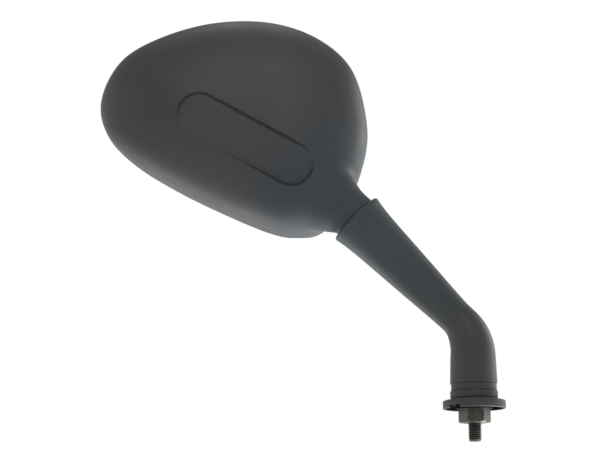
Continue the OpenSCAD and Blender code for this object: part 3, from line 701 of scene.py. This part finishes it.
def stud_steel(name):
    """Dark steel: greyer on the hexagon, rough and black on the thread, brassy at the thread's tip."""
    mat, tree, shader, where = material(name)
    z = height(tree, where)
    grain = noise(tree, where, 260, 5)
    plated = ramp(tree, grain, [(0.3, (0.075, 0.072, 0.064)), (0.75, (0.14, 0.134, 0.12))])
    black = ramp(tree, grain, [(0.3, (0.045, 0.043, 0.038)), (0.75, (0.086, 0.081, 0.072))])
    brass = ramp(tree, grain, [(0.3, (0.08, 0.066, 0.042)), (0.75, (0.13, 0.108, 0.07))])
    on_thread = spread(tree, z, 1, 0, -0.0004, -0.0001)
    at_tip = spread(tree, z, 1, 0, -0.0112, -0.0092)
    colour = mixed(tree, at_tip, mixed(tree, on_thread, plated, black), brass)
    tree.links.new(colour, shader.inputs["Base Color"])
    rough = tree.nodes.new("ShaderNodeMath")
    rough.operation = "MULTIPLY_ADD"
    tree.links.new(on_thread, rough.inputs[0])
    rough.inputs[1].default_value = 0.22
    tree.links.new(spread(tree, noise(tree, where, 120, 4), 0.45, 0.6), rough.inputs[2])
    tree.links.new(rough.outputs[0], shader.inputs["Roughness"])
    tree.links.new(bump(tree, noise(tree, where, 900, 3), 0.3, 0.00003), shader.inputs["Normal"])
    shader.inputs["Metallic"].default_value = 0.7
    return mat


def axis_distance(tree, where):
    """Distance from the stud's axis."""
    flat = tree.nodes.new("ShaderNodeVectorMath")
    flat.operation = "MULTIPLY"
    flat.inputs[1].default_value = (1, 1, 0)
    tree.links.new(where, flat.inputs[0])
    reach = tree.nodes.new("ShaderNodeVectorMath")
    reach.operation = "LENGTH"
    tree.links.new(flat.outputs["Vector"], reach.inputs[0])
    return reach.outputs["Value"]


def foot_plastic(name):
    """The same matt plastic, with painted shade in the hollow under the flange: near-black there, with almost
    no specular.
    """
    mat = plastic(name, (0.0345, 0.0366, 0.036), (0.043, 0.0445, 0.0437), 0.52)
    tree, shader, where = inner(mat)
    inside = tree.nodes.new("ShaderNodeMath")
    inside.operation = "MULTIPLY"
    tree.links.new(spread(tree, axis_distance(tree, where), 1, 0, 0.0178, 0.0185), inside.inputs[0])
    tree.links.new(spread(tree, height(tree, where), 1, 0, 0.0113, 0.0118), inside.inputs[1])
    plain_colour = shader.inputs["Base Color"].links[0].from_socket
    # Painted shade: the hollow under the flange gets a near-black colour and its specular is turned almost
    # off
    painted_shade = clouds(tree, where, 200, (0.005, 0.005, 0.005), (0.009, 0.009, 0.009))
    tree.links.new(mixed(tree, inside.outputs[0], plain_colour, painted_shade), shader.inputs["Base Color"])
    tree.links.new(spread(tree, inside.outputs[0], 0.3, 0.02, 0, 1), shader.inputs["Specular IOR Level"])
    return mat


MATERIALS = {
    "shell_plastic": cooled(plastic("shell_plastic", (0.0356, 0.0373, 0.0397), (0.0421, 0.0437, 0.0462), 0.5),
                            ((0.034, 0.0395, 0.043), (0.040, 0.046, 0.0495)), near_the_joint),
    "arm_plastic": cooled(plastic("arm_plastic", (0.0355, 0.0375, 0.038), (0.042, 0.0445, 0.045), 0.5),
                          ((0.033, 0.041, 0.0445), (0.039, 0.048, 0.051)), up_the_arm),
    "foot_plastic": foot_plastic("foot_plastic"),
    "inner_plastic": plastic("inner_plastic", (0.018, 0.018, 0.019), (0.026, 0.026, 0.027), 0.6),
    "nylon": plastic("nylon", (0.60, 0.60, 0.56), (0.68, 0.68, 0.64), 0.45, specular=0.5),
    "foam": plastic("foam", (0.05, 0.05, 0.05), (0.09, 0.09, 0.09), 0.9, grain=900, lift=0.0002),
    "gasket_rubber": plastic("gasket_rubber", (0.010, 0.010, 0.010), (0.015, 0.015, 0.015), 0.62),
    "stud_steel": stud_steel("stud_steel"),
    "spring_steel": metal("spring_steel", (0.25, 0.25, 0.25), (0.40, 0.40, 0.39), 0.35),
    "zinc_steel": metal("zinc_steel", (0.45, 0.42, 0.34), (0.60, 0.57, 0.48), 0.32),
    "cast_metal": metal("cast_metal", (0.30, 0.31, 0.32), (0.42, 0.43, 0.44), 0.5, lift=0.00008),
    "silvered_glass": mirror("silvered_glass"),
}


def finish_piece(obj, slot, body, *nodes):
    obj.data.materials.clear()
    obj.data.materials.append(MATERIALS[slot])
    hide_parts(*nodes)
    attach(obj, body)


finish_piece(shell, "shell_plastic", "head", "housing")
finish_piece(glass, "silvered_glass", "head", "mirror_glass")
finish_piece(gasket, "gasket_rubber", "head", "rim_gasket")
finish_piece(arm, "arm_plastic", "arm", "arm")
finish_piece(sleeve, "foot_plastic", "arm", "swivel_sleeve")
finish_piece(flange, "foot_plastic", "stud", "base_flange")
finish_piece(stud, "stud_steel", "stud", "mounting_stud")

slots = {part["node"]: part["material_slot"] for part in frame["record"]["subparts"]}
for node, obj in frame["nodes"].items():
    obj.data.materials.clear()
    obj.data.materials.append(MATERIALS[slots[node]])
    obj.data.polygons.foreach_set("material_index", [0] * len(obj.data.polygons))


# Studio

FLOOR_SIZE, FLOOR_Z = 8, -0.62
bpy.ops.mesh.primitive_plane_add(size=FLOOR_SIZE, location=(0, 0, FLOOR_Z))
floor = bpy.context.active_object
floor.name = "floor"
mat, tree, shader, where = material("floor")
paper = clouds(tree, where, 2, (0.90, 0.90, 0.89), (0.93, 0.93, 0.92))
tree.links.new(paper, shader.inputs["Base Color"])
shader.inputs["Roughness"].default_value = 0.9
floor.data.materials.append(mat)

scene = bpy.context.scene
world = bpy.data.worlds.new("studio")
scene.world = world
world.use_nodes = True
nodes, links = world.node_tree.nodes, world.node_tree.links
nodes.clear()


def world_node(kind, **values):
    node = nodes.new(kind)
    for key, value in values.items():
        setattr(node, key, value)
    return node


def either(a, b):
    node = world_node("ShaderNodeMath", operation="MAXIMUM")
    links.new(a, node.inputs[0])
    links.new(b, node.inputs[1])
    return node.outputs[0]


def fall(value, low, high, dim):
    """Brightness that goes smoothly from dim at low to full at high."""
    node = world_node("ShaderNodeMapRange", interpolation_type="SMOOTHSTEP")
    for key, number in (("From Min", low), ("From Max", high), ("To Min", dim), ("To Max", 1.0)):
        node.inputs[key].default_value = number
    links.new(value, node.inputs["Value"])
    return node.outputs["Result"]


# A white backdrop below, behind and beside the object, a dim ceiling and a dim room in front
way = world_node("ShaderNodeTexCoord")
split = world_node("ShaderNodeSeparateXYZ")
links.new(way.outputs["Generated"], split.inputs["Vector"])
room = world_node("ShaderNodeMath", operation="MULTIPLY")
links.new(fall(split.outputs["Z"], 0.62, 0.33, 0.35), room.inputs[0])
links.new(fall(split.outputs["Y"], -0.9, -0.3, 0.25), room.inputs[1])
path = world_node("ShaderNodeLightPath")
soft = world_node("ShaderNodeBackground")
soft.inputs["Color"].default_value = (0.93, 0.965, 1, 1)
soft.inputs["Strength"].default_value = 0.82
backdrop = world_node("ShaderNodeBackground")
backdrop.inputs["Color"].default_value = (1, 1, 1, 1)
links.new(either(room.outputs[0], path.outputs["Is Camera Ray"]), backdrop.inputs["Strength"])
seen = either(either(path.outputs["Is Camera Ray"], path.outputs["Is Glossy Ray"]),
              path.outputs["Is Transmission Ray"])
mix = world_node("ShaderNodeMixShader")
links.new(seen, mix.inputs["Fac"])
links.new(soft.outputs[0], mix.inputs[1])
links.new(backdrop.outputs[0], mix.inputs[2])
out = world_node("ShaderNodeOutputWorld")
links.new(mix.outputs[0], out.inputs["Surface"])


def softbox(name, place, aim, size, power):
    light = bpy.data.lights.new(name, "AREA")
    light.shape = "DISK"
    light.size = size
    light.energy = power
    obj = bpy.data.objects.new(name, light)
    bpy.context.collection.objects.link(obj)
    obj.location = place
    obj.rotation_euler = (Vector(aim) - Vector(place)).to_track_quat("-Z", "Y").to_euler()
    obj.visible_camera = False


# Lamps: place, diameter and power, all aimed at the object's middle
MIDDLE = (-0.1, 0, 0.13)
LAMPS = {"key": ((-0.05, -0.76, 0.7), 0.45, 2.1), "top": ((-0.1, 0.3, 1.05), 0.5, 1.3),
         "right": ((0.7, 0.46, 0.38), 0.5, 2.7), "below": ((0.32, 0.22, -0.54), 0.6, 18),
         "left": ((-0.66, 0.64, -0.51), 0.6, 2.7)}
for lamp, (place, size, power) in LAMPS.items():
    softbox(lamp, place, MIDDLE, size, power)


# Camera

TARGET = Vector((-0.10084, 0.005, 0.12081))
DISTANCE, FROM_BELOW_DEG, ROLL_DEG = 1.25, 10.3, 0.7
LENS, SENSOR = 119.88, 36
low = math.radians(FROM_BELOW_DEG)
roll = math.radians(ROLL_DEG)
view = Vector((0, math.cos(low), math.sin(low)))
right = Vector((1, 0, 0))
up = right.cross(view)
right, up = right * math.cos(roll) - up * math.sin(roll), right * math.sin(roll) + up * math.cos(roll)
camera = bpy.data.objects.new("camera", bpy.data.cameras.new("camera"))
bpy.context.collection.objects.link(camera)
camera.data.lens = LENS
camera.data.sensor_width = SENSOR
place = TARGET - view * DISTANCE
camera.matrix_world = Matrix(((right.x, up.x, -view.x, place.x), (right.y, up.y, -view.y, place.y),
                              (right.z, up.z, -view.z, place.z), (0, 0, 0, 1)))
scene.camera = camera
scene.view_settings.view_transform = "Standard"

bpy.context.view_layer.update()
